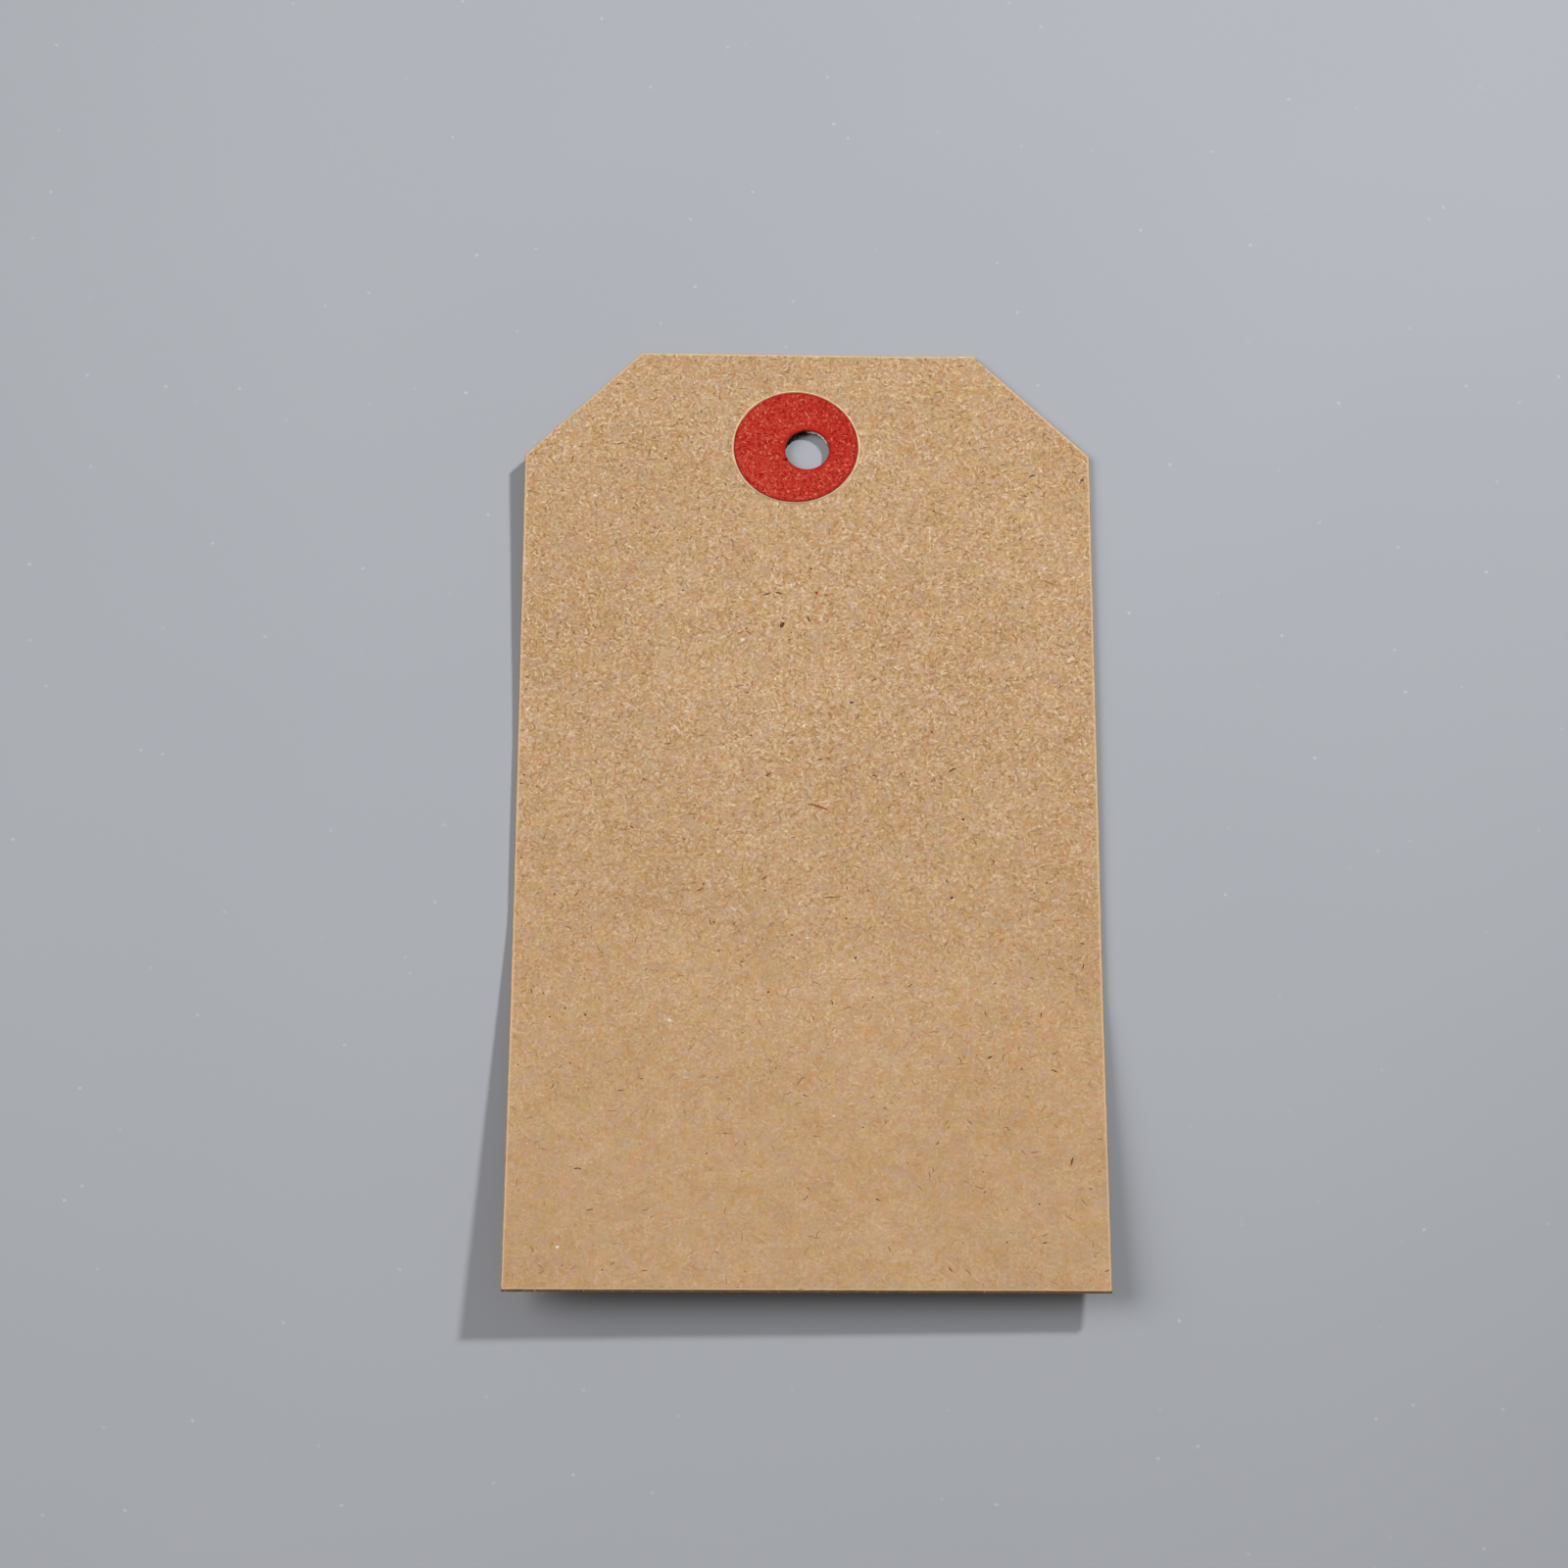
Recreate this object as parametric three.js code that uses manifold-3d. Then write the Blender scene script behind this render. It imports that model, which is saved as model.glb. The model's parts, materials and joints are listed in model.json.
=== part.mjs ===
// A kraft paper tag: a die-cut board with two clipped corners, and a patch of gummed paper stuck on its
// front to strengthen the string hole. Every piece is drawn flat, as it is cut and stuck, and then the
// stack is bent along two straight lines, because board bends without stretching only that way.
// Millimetres, +Z up. The tag lies face up with its punched end, the head, towards +Y. The other end is
// the foot. The origin is under the middle of the tag, on the surface that it lies on.
import * as THREE from "three";
import { mergeVertices } from "three/addons/utils/BufferGeometryUtils.js";
import Module from "manifold-3d";

// The board
const CARD_WIDTH = 50;
const CARD_LENGTH = 90;
const CARD_THICKNESS = 0.47;
const CLIP_ACROSS = 10.2;
const CLIP_ALONG = 10.4;

// The string hole, punched through the patch and the board in one stroke
const HOLE_DIAMETER = 3.9;
const HOLE_FROM_HEAD = 9.65;
const HOLE_DRAW_IN = 0.08;

// The patch, stuck a little off the hole, across and along the tag, on dried gum
const PATCH_DIAMETER = 11;
const PATCH_THICKNESS = 0.1;
const GUM_THICKNESS = 0.02;
const PATCH_ACROSS = -1;
const PATCH_ALONG = 0.25;

// The bends. A skew turns the bend's line from straight across the tag, and a run is the curved stretch.
// Each is placed on the middle line of the tag, by its distance from the nearer end.
const FOOT_BEND_FROM_FOOT = 31.2;
const FOOT_BEND_SKEW = THREE.MathUtils.degToRad(-8.5);
const FOOT_BEND_ANGLE = THREE.MathUtils.degToRad(4.65);
const FOOT_BEND_RUN = 3;
const HEAD_BEND_FROM_HEAD = 9.2;
const HEAD_BEND_SKEW = THREE.MathUtils.degToRad(48);
const HEAD_BEND_ANGLE = THREE.MathUtils.degToRad(2.73);
const HEAD_BEND_RUN = 3;

// How finely the curves are cut, and how far the cutting tools reach past what they cut
const RUN_FACETS = 8;
const PATCH_FACETS = 72;
const HOLE_FACETS = 48;
const DRAW_IN_FACETS = 3;
const REACH = 3;

const halfWidth = CARD_WIDTH / 2;
const halfLength = CARD_LENGTH / 2;
const patchRadius = PATCH_DIAMETER / 2;
const holeRadius = HOLE_DIAMETER / 2;
const hole = new THREE.Vector2(0, halfLength - HOLE_FROM_HEAD);
const patch = hole.clone().add(new THREE.Vector2(PATCH_ACROSS, PATCH_ALONG));

// The faces of the layers, as heights over the underside of the flat board
const gumFace = CARD_THICKNESS + GUM_THICKNESS;
const patchFace = gumFace + PATCH_THICKNESS;

// A bend across the middle line at a distance y from the tag's centre. Uphill is the direction in the flat
// sheet that climbs away from its line, and start is how far along it the curved run begins.
function bendAt(y, uphill, run, angle) {
  return { uphill, start: y * uphill.y - run / 2, run, angle };
}
const footUphill = new THREE.Vector2(Math.sin(FOOT_BEND_SKEW), -Math.cos(FOOT_BEND_SKEW));
const headUphill = new THREE.Vector2(-Math.sin(HEAD_BEND_SKEW), Math.cos(HEAD_BEND_SKEW));
const bends = [
  bendAt(FOOT_BEND_FROM_FOOT - halfLength, footUphill, FOOT_BEND_RUN, FOOT_BEND_ANGLE),
  bendAt(halfLength - HEAD_BEND_FROM_HEAD, headUphill, HEAD_BEND_RUN, HEAD_BEND_ANGLE),
];

// Where a point of the flat stack goes when the tag is bent. Its height stays square to the sheet.
function bowed(x, y, height) {
  const place = new THREE.Vector3(x, y, 0);
  const normal = new THREE.Vector3(0, 0, 1);
  for (const { uphill, start, run, angle } of bends) {
    const past = Math.max(0, x * uphill.x + y * uphill.y - start);
    const straight = Math.max(0, past - run);
    const turned = (angle * (past - straight)) / run;
    const radius = run / angle;
    const along = radius * Math.sin(turned) + straight * Math.cos(turned);
    const up = radius * (1 - Math.cos(turned)) + straight * Math.sin(turned);
    place.x += uphill.x * (along - past);
    place.y += uphill.y * (along - past);
    place.z += up;
    normal.x -= uphill.x * Math.sin(turned);
    normal.y -= uphill.y * Math.sin(turned);
  }
  return place.addScaledVector(normal.normalize(), height);
}

// The straight lines of the bent sheet, each given by where it meets the sheet's two sides. The sheet is
// flat between one line and the next, and it ends well past the tag and past every line.
function sheetLines() {
  const sides = [-halfWidth - REACH, halfWidth + REACH].map((x) => ({
    x,
    crossings: bends.flatMap(({ uphill, start, run }) =>
      Array.from({ length: RUN_FACETS + 1 }, (_, i) => {
        const distance = start + (run * i) / RUN_FACETS;
        return (distance - x * uphill.x) / uphill.y;
      }),
    ),
  }));
  const everywhere = sides.flatMap(({ crossings }) => crossings);
  const ends = [
    Math.min(-halfLength, ...everywhere) - REACH,
    Math.max(halfLength, ...everywhere) + REACH,
  ];
  return sides.map(({ x, crossings }) => ({ x, lines: [...ends, ...crossings].sort((a, b) => a - b) }));
}
const [leftSide, rightSide] = sheetLines();
const lastLine = leftSide.lines.length - 1;

// A bent sheet wider than the tag, between two heights in the stack. Sheets that share a height meet
// facet on facet there.
function bentSheet(low, high) {
  const sheet = new THREE.BoxGeometry(1, 1, 1, 1, lastLine, 1);
  const position = sheet.getAttribute("position");
  for (let i = 0; i < position.count; i++) {
    const side = position.getX(i) < 0 ? leftSide : rightSide;
    const line = Math.round((position.getY(i) + 0.5) * lastLine);
    const height = position.getZ(i) < 0 ? low : high;
    position.setXYZ(i, ...bowed(side.x, side.lines[line], height));
  }
  return toSolid(sheet);
}

// A cutting tool that is drawn over the flat stack and bent with it, so it cuts square to the sheet
function bentTool(geometry) {
  const position = geometry.getAttribute("position");
  for (let i = 0; i < position.count; i++) {
    position.setXYZ(i, ...bowed(position.getX(i), position.getY(i), position.getZ(i)));
  }
  return toSolid(geometry);
}

const wasm = await Module();
wasm.setup();

function toSolid(geometry) {
  geometry.deleteAttribute("normal");
  geometry.deleteAttribute("uv");
  const merged = mergeVertices(geometry);
  return new wasm.Manifold(
    new wasm.Mesh({
      numProp: 3,
      vertProperties: merged.getAttribute("position").array,
      triVerts: new Uint32Array(merged.index.array),
    }),
  );
}

function toGeometry(solid) {
  const { vertProperties, triVerts } = solid.getMesh();
  const indexed = new THREE.BufferGeometry();
  indexed.setAttribute("position", new THREE.BufferAttribute(vertProperties, 3));
  indexed.setIndex(new THREE.BufferAttribute(triVerts, 1));
  const geometry = indexed.toNonIndexed();
  geometry.computeVertexNormals();
  return geometry;
}

// The steel rule that cuts the board's outline, with the two corners of the head clipped
function cardDie() {
  const outline = new THREE.Shape();
  outline.moveTo(-halfWidth, -halfLength);
  outline.lineTo(halfWidth, -halfLength);
  outline.lineTo(halfWidth, halfLength - CLIP_ALONG);
  outline.lineTo(halfWidth - CLIP_ACROSS, halfLength);
  outline.lineTo(-halfWidth + CLIP_ACROSS, halfLength);
  outline.lineTo(-halfWidth, halfLength - CLIP_ALONG);
  outline.closePath();
  const prism = new THREE.ExtrudeGeometry(outline, { depth: 2 * REACH, bevelEnabled: false });
  return bentTool(prism.translate(0, 0, -REACH));
}

// The round die that cuts a patch, with its gum, out of the gummed sheet
function patchDie(centre) {
  const prism = new THREE.CylinderGeometry(patchRadius, patchRadius, 2 * REACH, PATCH_FACETS);
  return bentTool(prism.rotateX(Math.PI / 2).translate(centre.x, centre.y, 0));
}

// The punch that makes the hole. Going in, it draws the patch's rim down into a small round.
function holePunch() {
  const drawIn = Math.min(HOLE_DRAW_IN, PATCH_THICKNESS);
  const round = Array.from({ length: DRAW_IN_FACETS + 1 }, (_, i) => {
    const turn = (Math.PI / 2) * (i / DRAW_IN_FACETS);
    return new THREE.Vector2(
      holeRadius + drawIn * (1 - Math.cos(turn)),
      patchFace - drawIn * (1 - Math.sin(turn)),
    );
  });
  const profile = [
    new THREE.Vector2(0, -REACH),
    new THREE.Vector2(holeRadius, -REACH),
    ...round,
    new THREE.Vector2(holeRadius + drawIn, REACH),
    new THREE.Vector2(0, REACH),
  ];
  const tool = new THREE.LatheGeometry(profile, HOLE_FACETS);
  return bentTool(tool.rotateX(Math.PI / 2).translate(hole.x, hole.y, 0));
}

const kraftBoard = new THREE.MeshStandardMaterial({ color: 0xc29e77, roughness: 0.9, metalness: 0 });
const redPaper = new THREE.MeshStandardMaterial({ color: 0xbe3228, roughness: 0.8, metalness: 0 });
const driedGum = new THREE.MeshStandardMaterial({ color: 0xd9c38c, roughness: 0.4, metalness: 0 });

const tag = new THREE.Group();
const punch = holePunch();

// Cuts one layer of the stack out of its sheet and adds it to the tag.
function addLayer(name, low, high, die, material) {
  const solid = bentSheet(low, high).intersect(die).subtract(punch);
  const mesh = new THREE.Mesh(toGeometry(solid), material);
  mesh.name = name;
  tag.add(mesh);
}

const die = patchDie(patch);
addLayer("tag_card", 0, CARD_THICKNESS, cardDie(), kraftBoard);
addLayer("front_patch_gum", CARD_THICKNESS, gumFace, die, driedGum);
addLayer("front_patch", gumFace, patchFace, die, redPaper);

// The bends shorten the tag a little, so it is set back over the origin.
const bounds = new THREE.Box3().setFromObject(tag);
const middle = bounds.getCenter(new THREE.Vector3());
tag.position.set(-middle.x, -middle.y, -bounds.min.z);

export default tag;
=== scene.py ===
# %% [markdown]
# A kraft paper tag, seen from above on a pale table.
# The real one is a piece of unbleached board, die-cut with two clipped corners. A disc of red gummed
# paper is stuck on its front where the string hole is punched, so that the string can't tear it out.
# It is a thin, dull thing, and what makes it look real is small: the bow of the board, the lips of its
# cut edges, the fibres that lie in its face, and the shadow under the ends that don't touch the table.
#
# The construction model comes in first. It holds the true sizes, and nothing here moves or resizes it.

# %% Load the frame
import json
import math
import random

import bmesh
import bpy
from mathutils import Matrix, Vector, noise
from mathutils.bvhtree import BVHTree


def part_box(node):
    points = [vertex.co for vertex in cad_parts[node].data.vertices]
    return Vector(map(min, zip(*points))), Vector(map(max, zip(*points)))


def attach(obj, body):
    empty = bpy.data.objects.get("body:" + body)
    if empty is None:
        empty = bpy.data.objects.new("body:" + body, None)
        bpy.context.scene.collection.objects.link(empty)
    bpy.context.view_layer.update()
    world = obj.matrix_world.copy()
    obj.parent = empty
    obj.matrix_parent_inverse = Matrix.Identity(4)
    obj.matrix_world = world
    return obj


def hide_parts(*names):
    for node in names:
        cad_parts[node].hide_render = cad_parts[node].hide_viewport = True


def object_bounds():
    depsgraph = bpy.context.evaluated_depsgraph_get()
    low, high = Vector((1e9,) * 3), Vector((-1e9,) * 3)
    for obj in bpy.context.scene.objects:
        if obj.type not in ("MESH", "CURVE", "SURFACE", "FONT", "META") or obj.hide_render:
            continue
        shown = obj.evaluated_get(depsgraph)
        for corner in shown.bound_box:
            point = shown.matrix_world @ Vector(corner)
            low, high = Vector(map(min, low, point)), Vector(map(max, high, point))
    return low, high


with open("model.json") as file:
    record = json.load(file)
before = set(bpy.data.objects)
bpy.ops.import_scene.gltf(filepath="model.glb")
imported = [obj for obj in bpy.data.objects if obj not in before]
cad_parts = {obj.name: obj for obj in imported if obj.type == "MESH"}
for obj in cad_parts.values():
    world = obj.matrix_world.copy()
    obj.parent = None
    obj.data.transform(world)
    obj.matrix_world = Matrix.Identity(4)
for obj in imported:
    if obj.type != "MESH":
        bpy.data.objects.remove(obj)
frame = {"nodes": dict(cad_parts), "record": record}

cad_bounds = [list(corner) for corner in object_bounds()]
print("the tag's box in metres:", cad_bounds)

# %% [markdown]
# Blender works in metres here and paper is measured in millimetres, so one value turns one to the other.
# The hole's place is a mount in the record that comes with the construction model. The patch's place is
# read off its solid, so the finish stays on the pieces if their sizes change.
# The card's reach is half its width and half its length, to the whole millimetre, for what is scattered
# all over it.

# %% Units, and where things are on the tag
MM = 0.001
card_reach = [round(side / MM) * MM for side in cad_bounds[1][:2]]
mounts = {mount["name"]: mount for mount in frame["record"]["mounts"]}
hole = Vector(mounts["string_hole"]["pos_m"])
hole_axis = Vector(mounts["string_hole"]["axis"])


def from_hole(place):
    """How far a place is from the line down the middle of the hole."""
    return (place - hole).cross(hole_axis).length


hole_radius = min(from_hole(vertex.co) for vertex in frame["nodes"]["tag_card"].data.vertices)
patch_lowest, patch_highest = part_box("front_patch")
patch_middle = (patch_lowest + patch_highest) / 2
patch_radius = (patch_highest.x - patch_lowest.x) / 2
print("hole radius in mm:", round(hole_radius / MM, 3), "patch radius:", round(patch_radius / MM, 3))

# %% [markdown]
# Colours are picked as sRGB hex values, the way a paint program shows them. A shader wants linear light,
# so one function turns one into the other. A second one adds a node with its settings and its links in a
# single call, which keeps a material short enough to read as a recipe.
# Every pattern here reads Object coordinates, turned to millimetres, so its scale is a real size.

# %% Colour and node helpers
KRAFT_MIDDLE = "c09d74"


def linear(hex_colour):
    """The linear RGBA of a colour written as RRGGBB, by the sRGB standard's own formula."""
    shares = [int(hex_colour[start : start + 2], 16) / 255 for start in (0, 2, 4)]
    light = [share / 12.92 if share <= 0.04045 else ((share + 0.055) / 1.055) ** 2.4 for share in shares]
    return (*light, 1)


def add_node(tree, kind, inputs=None, **settings):
    """Adds a node. Each of its inputs is a plain value or another node's output."""
    made = tree.nodes.new(kind)
    for name, value in settings.items():
        setattr(made, name, value)
    for key, value in (inputs or {}).items():
        if isinstance(value, bpy.types.NodeSocket):
            tree.links.new(value, made.inputs[key])
        else:
            made.inputs[key].default_value = value
    return made


def start_material(name):
    """An empty material, its node tree, and the place on the piece in millimetres."""
    material = bpy.data.materials.new(name)
    material.use_nodes = True
    tree = material.node_tree
    tree.nodes.clear()
    metres = add_node(tree, "ShaderNodeTexCoord").outputs["Object"]
    scaled = {"Vector": metres, "Scale": (1 / MM,) * 3}
    place = add_node(tree, "ShaderNodeMapping", scaled).outputs["Vector"]
    return material, tree, place


def finish_material(tree, colour, height, relief, roughness, **shader):
    """Ends a material with its shader. The relief is how far, in mm, a height of 1 stands up."""
    bump = {"Height": height, "Distance": relief * MM}
    normal = add_node(tree, "ShaderNodeBump", bump).outputs["Normal"]
    inputs = {"Base Color": colour, "Roughness": roughness, "Normal": normal, **shader}
    surface = add_node(tree, "ShaderNodeBsdfPrincipled", inputs).outputs["BSDF"]
    add_node(tree, "ShaderNodeOutputMaterial", {"Surface": surface})


print("kraft's middle colour in linear light:", linear(KRAFT_MIDDLE))

# %% [markdown]
# Paper is a felt of fibres. Each is a fine curly stroke that lies its own way. A real one is about 0.03 mm
# wide, which is too fine to show here, so a stroke is drawn as coarse as a bundle of them: 0.13 to 0.2 mm
# wide and 0.5 to 1.1 mm long. A noise texture gives blots and not strokes.
# So the surface is cut into random cells with a flat Voronoi texture, and every cell draws one stroke
# through its middle. The cell's own random colour turns the stroke, bends it and sets how strong it is.
# A few such layers laid over each other read as paper, each set apart by a seed that shifts it.
# The step is that shift in mm. The curl is how much a stroke may bend, and the core is the share of its
# half width and half length that is at full strength.

# %% A layer of fibres
FIBRE_SEED_STEP = (7.3, 3.1, 0)
FIBRE_CURL = 0.6
FIBRE_CORE = 0.45


def fibre_layer(tree, place, seed, spacing, width, length):
    """A mask with one fibre in each cell. Sizes are in mm."""
    shift = [side * seed for side in FIBRE_SEED_STEP]
    shifted = add_node(tree, "ShaderNodeVectorMath", {0: place, 1: shift})
    cells = {"Vector": shifted.outputs[0], "Scale": 1 / spacing}
    cell = add_node(tree, "ShaderNodeTexVoronoi", cells, voronoi_dimensions="2D")
    chance = add_node(tree, "ShaderNodeSeparateColor", {0: cell.outputs["Color"]})
    centre = {0: shifted.outputs[0], 1: cell.outputs["Position"]}
    offset = add_node(tree, "ShaderNodeVectorMath", centre, operation="SUBTRACT")
    turn = {0: chance.outputs[0], 1: 2 * math.pi}
    angle = add_node(tree, "ShaderNodeMath", turn, operation="MULTIPLY")
    turned = {"Vector": offset.outputs[0], "Angle": angle.outputs[0]}
    lying = add_node(tree, "ShaderNodeVectorRotate", turned, rotation_type="Z_AXIS")
    along, across, _ = add_node(tree, "ShaderNodeSeparateXYZ", {0: lying.outputs[0]}).outputs
    squared = add_node(tree, "ShaderNodeMath", {0: along, 1: along}, operation="MULTIPLY")
    bend = {"Value": chance.outputs[1], "To Min": -FIBRE_CURL / length, "To Max": FIBRE_CURL / length}
    curl = add_node(tree, "ShaderNodeMapRange", bend)
    bent = {0: squared.outputs[0], 1: curl.outputs[0], 2: across}
    aside = add_node(tree, "ShaderNodeMath", bent, operation="MULTIPLY_ADD")
    masks = []
    for distance, edge in ((aside.outputs[0], width / 2), (along, length / 2)):
        size = add_node(tree, "ShaderNodeMath", {0: distance}, operation="ABSOLUTE")
        reach = {"Value": size.outputs[0], "From Min": edge * FIBRE_CORE, "From Max": edge}
        fade = {**reach, "To Min": 1, "To Max": 0}
        masks.append(add_node(tree, "ShaderNodeMapRange", fade, interpolation_type="SMOOTHSTEP").outputs[0])
    stroke = add_node(tree, "ShaderNodeMath", {0: masks[0], 1: masks[1]}, operation="MULTIPLY")
    strength = {0: stroke.outputs[0], 1: chance.outputs[2]}
    return add_node(tree, "ShaderNodeMath", strength, operation="MULTIPLY").outputs[0]


print("one stroke in each cell, its core", FIBRE_CORE, "of its half width")

# %% [markdown]
# Behind the fibres the colour drifts in clouds, and for those a noise texture is right. Patterns are added
# up with weights into one tone, and a ramp turns the tone to colour. A noise has its mean at a half, so
# half of its weight is taken off, and the tone stays round the middle that is asked for.
# A thin tint comes in where its own pattern is high, between the two values here. A lip is where a sheet
# was cut, and its dressed layer marks it with an attribute.

# %% Clouds, tones and tints
CLOUD_SEED_STEP = (11.7, 5.3, 2.9)
TINT_FROM = 0.48
TINT_FULL = 0.72


def mottle(tree, place, seed, span):
    """A cloudy value from 0 to 1, whose clouds are about span mm across."""
    shift = [side * seed for side in CLOUD_SEED_STEP]
    shifted = add_node(tree, "ShaderNodeVectorMath", {0: place, 1: shift})
    clouds = {"Vector": shifted.outputs[0], "Scale": 1 / span, "Detail": 2.0, "Roughness": 0.5}
    return add_node(tree, "ShaderNodeTexNoise", clouds).outputs[0]


def sum_of(tree, middle, parts, noises=()):
    """Adds up patterns, each times its own weight, over a middle that the noises don't shift."""
    total = middle - sum(weight for _, weight in noises) / 2
    for pattern, weight in (*parts, *noises):
        terms = {0: pattern, 1: weight, 2: total}
        total = add_node(tree, "ShaderNodeMath", terms, operation="MULTIPLY_ADD").outputs[0]
    return total


def toned(tree, tone, stops):
    """Colours a tone through stops of (tone, hex colour)."""
    ramp = add_node(tree, "ShaderNodeValToRGB", {"Fac": tone})
    elements = ramp.color_ramp.elements
    for _ in range(len(stops) - len(elements)):
        elements.new(1.0)
    for element, (position, hex_colour) in zip(elements, stops):
        element.position = position
        element.color = linear(hex_colour)
    return ramp.outputs["Color"]


def tinted(tree, colour, pattern, share, hex_colour):
    """Lays a thin tint over a colour where a pattern is high."""
    amount = {"Value": pattern, "From Min": TINT_FROM, "From Max": TINT_FULL, "To Max": share}
    factor = add_node(tree, "ShaderNodeMapRange", amount, interpolation_type="SMOOTHSTEP")
    mix = {0: factor.outputs[0], 6: colour, 7: linear(hex_colour)}
    return add_node(tree, "ShaderNodeMix", mix, data_type="RGBA").outputs[2]


def worn_lip(tree, colour, share, hex_colour):
    """Lays a tint over a colour along the lips of a dressed layer, which are marked on its mesh."""
    lip = add_node(tree, "ShaderNodeAttribute", attribute_name="lip").outputs["Fac"]
    factor = add_node(tree, "ShaderNodeMath", {0: lip, 1: share}, operation="MULTIPLY")
    mix = {0: factor.outputs[0], 6: colour, 7: linear(hex_colour)}
    return add_node(tree, "ShaderNodeMix", mix, data_type="RGBA").outputs[2]


print("a tint comes in from", TINT_FROM, "and is full at", TINT_FULL)

# %% [markdown]
# Kraft board is unbleached wood pulp, pressed and left uncoated. Its face is matt, and its colour comes
# in clouds: the felt's flocks over some millimetres, and single fibres, light cream and mid-brown,
# within them. Pinkish, greenish-grey, rusty, yellow and violet-grey tints come from the mixed waste pulp
# it is made of. The tones and heights of the fibres say how much each layer counts in colour and relief.
# A tag is held by its foot, and hands have polished the felt there, so it is calmer towards that end. The
# handled values are places along the tag in mm, and the strength that is left of the felt at the foot.

# %% Kraft board face
KRAFT_FIBRES = (
    # seed, spacing, width and length in mm: two light layers and two dark ones
    (1, 0.45, 0.2, 0.55),
    (2, 0.8, 0.17, 1.1),
    (3, 0.5, 0.2, 0.6),
    (4, 0.9, 0.16, 1.0),
)
KRAFT_FIBRE_TONES = (0.25, 0.23, -0.25, -0.27)
KRAFT_FIBRE_HEIGHTS = (0.35, 0.35, -0.25)
KRAFT_TINTS = (
    # seed, span in mm, share, colour
    (8, 1.3, 0.25, "d39c78"),
    (9, 2.1, 0.3, "b3a07a"),
    (10, 0.7, 0.4, "bd8450"),
    (19, 0.8, 0.3, "c5a25c"),
    (20, 1.1, 0.3, "bb9b8d"),
)
GRAIN_WEIGHT = 0.76
FLOCK_WEIGHT = 0.2
CLOUD_WEIGHT = 0.15
HANDLED_FROM = -32
HANDLED_TO = 7
HANDLED_STRENGTH = 0.34


def kraft_board():
    """Unbleached, uncoated board: matt, felted, with no gloss at any angle."""
    material, tree, place = start_material("kraft_board")
    fibres = [fibre_layer(tree, place, *measures) for measures in KRAFT_FIBRES]
    grain = mottle(tree, place, seed=5, span=0.24)
    rough = sum_of(tree, 0.0, zip(fibres, KRAFT_FIBRE_TONES), noises=[(grain, GRAIN_WEIGHT)])
    _, along, _ = add_node(tree, "ShaderNodeSeparateXYZ", {0: place}).outputs
    stretch = {"From Min": HANDLED_FROM, "From Max": HANDLED_TO}
    handled = {"Value": along, **stretch, "To Min": HANDLED_STRENGTH, "To Max": 1.0}
    strength = add_node(tree, "ShaderNodeMapRange", handled).outputs[0]
    flocks = mottle(tree, place, seed=6, span=1.7)
    clouds = mottle(tree, place, seed=7, span=8)
    cloudy = sum_of(tree, 0.5, (), noises=[(flocks, FLOCK_WEIGHT), (clouds, CLOUD_WEIGHT)])
    terms = {0: rough, 1: strength, 2: cloudy}
    tone = add_node(tree, "ShaderNodeMath", terms, operation="MULTIPLY_ADD").outputs[0]
    stops = [(0.0, "77522d"), (0.3, "a68157"), (0.5, KRAFT_MIDDLE), (0.7, "d7ba96"), (1.0, "ebe0cb")]
    colour = toned(tree, tone, stops)
    for seed, span, share, hex_colour in KRAFT_TINTS:
        colour = tinted(tree, colour, mottle(tree, place, seed, span), share, hex_colour)
    colour = worn_lip(tree, colour, share=0.7, hex_colour="e6cba4")
    felt = sum_of(tree, 0.0, [*zip(fibres, KRAFT_FIBRE_HEIGHTS), (grain, 1.0)])
    calm_felt = add_node(tree, "ShaderNodeMath", {0: felt, 1: strength}, operation="MULTIPLY").outputs[0]
    shine = {"Specular IOR Level": 0.2}
    finish_material(tree, colour, calm_felt, relief=0.022, roughness=0.9, **shine)
    return material


kraft_face = kraft_board()
print(kraft_face.name, len(kraft_face.node_tree.nodes), "nodes")

# %% [markdown]
# A die shears the board, so its edge shows the board from the side: thin layers of fibre, pressed flat
# and darker than the face. The walls of the string hole are the same, but darker still: partly the punch's
# pressed cut, and partly painted shade of the deep, narrow hole. The left one is painted nearly black, as
# painted shade where no lamp reaches. The first two values tell, in mm from the tag's middle line, where
# that painted shade ends and the plain wall begins.
# The layers are a noise that is stretched along the sheet and fine across it, to the two sizes in mm.

# %% Cut edges of the board
PAINTED_SHADE_TO = 0.3
UNSHADED_FROM = 0.9
STRATUM_LENGTH = 1.6
STRATUM_THICKNESS = 0.07
STRATUM_WEIGHT = 1.1
CUT_GRAIN_WEIGHT = 0.6


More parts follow.
